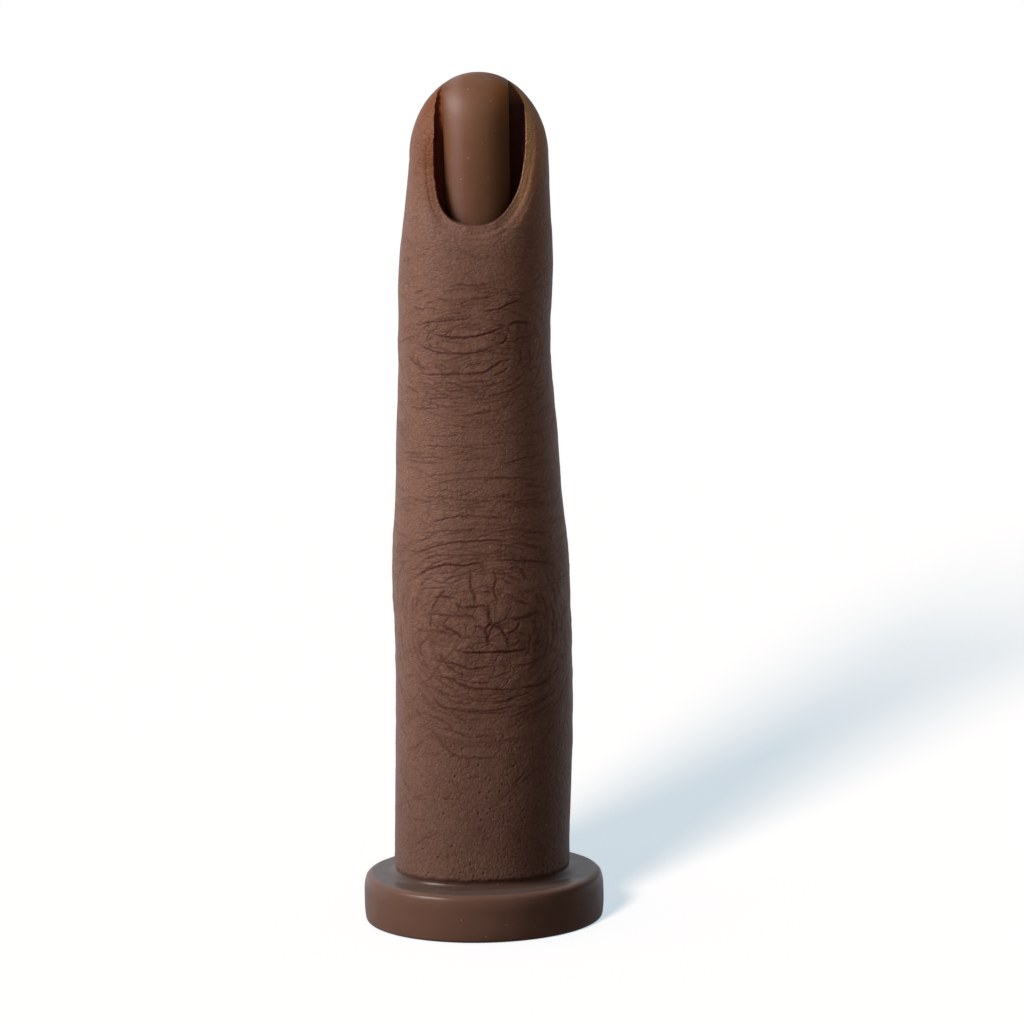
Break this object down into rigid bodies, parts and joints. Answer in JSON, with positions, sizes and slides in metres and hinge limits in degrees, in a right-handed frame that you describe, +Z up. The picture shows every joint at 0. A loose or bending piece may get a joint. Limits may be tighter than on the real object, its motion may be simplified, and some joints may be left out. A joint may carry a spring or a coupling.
{
  "type": "nail practice finger",
  "caption": "Free-standing silicone finger on a round foot, with a nail slot over a crowned nail bed and a jointed skeleton that bends at the knuckle and the tip joint.",
  "frame": {"origin": "centre of the foot's underside, on the surface that the finger stands on", "axes": "+Z up along the straight finger, -Y the nail side, +Y the palm side, +X to the right as the nail is seen"},
  "size_m": [0.025, 0.025, 0.09],
  "materials": {
    "silicone_skin": "matt silicone with moulded skin texture",
    "nail_bed_silicone": "smooth satin firm silicone",
    "white_nylon": "natural moulded nylon",
    "zinc_plated_steel": "zinc plated"
  },
  "bodies": {
    "base": {"lower_skin_with_foot": "silicone_skin", "knuckle_skin": "silicone_skin", "foot_plate": "white_nylon", "foot_screw": "zinc_plated_steel", "lower_bone": "white_nylon", "knuckle_pivot_screw": "zinc_plated_steel", "knuckle_spring_washer": "zinc_plated_steel", "knuckle_lock_nut": "zinc_plated_steel"},
    "middle": {"middle_skin": "silicone_skin", "tip_joint_skin": "silicone_skin", "middle_bone": "white_nylon", "tip_joint_pivot_screw": "zinc_plated_steel", "tip_joint_spring_washer": "zinc_plated_steel", "tip_joint_lock_nut": "zinc_plated_steel"},
    "fingertip": {"fingertip_skin": "silicone_skin", "fingertip_bone": "white_nylon", "nail_bed": "nail_bed_silicone"}
  },
  "joints": [
    {"name": "knuckle_bend", "type": "hinge", "parent": "base", "child": "middle", "pos_m": [0, 0, 0.035], "axis": [-1, 0, 0], "range_deg": [0, 70], "deforming": ["knuckle_skin"]},
    {"name": "tip_joint_bend", "type": "hinge", "parent": "middle", "child": "fingertip", "pos_m": [0, 0, 0.0625], "axis": [-1, 0, 0], "range_deg": [0, 50], "deforming": ["tip_joint_skin"]}
  ]
}
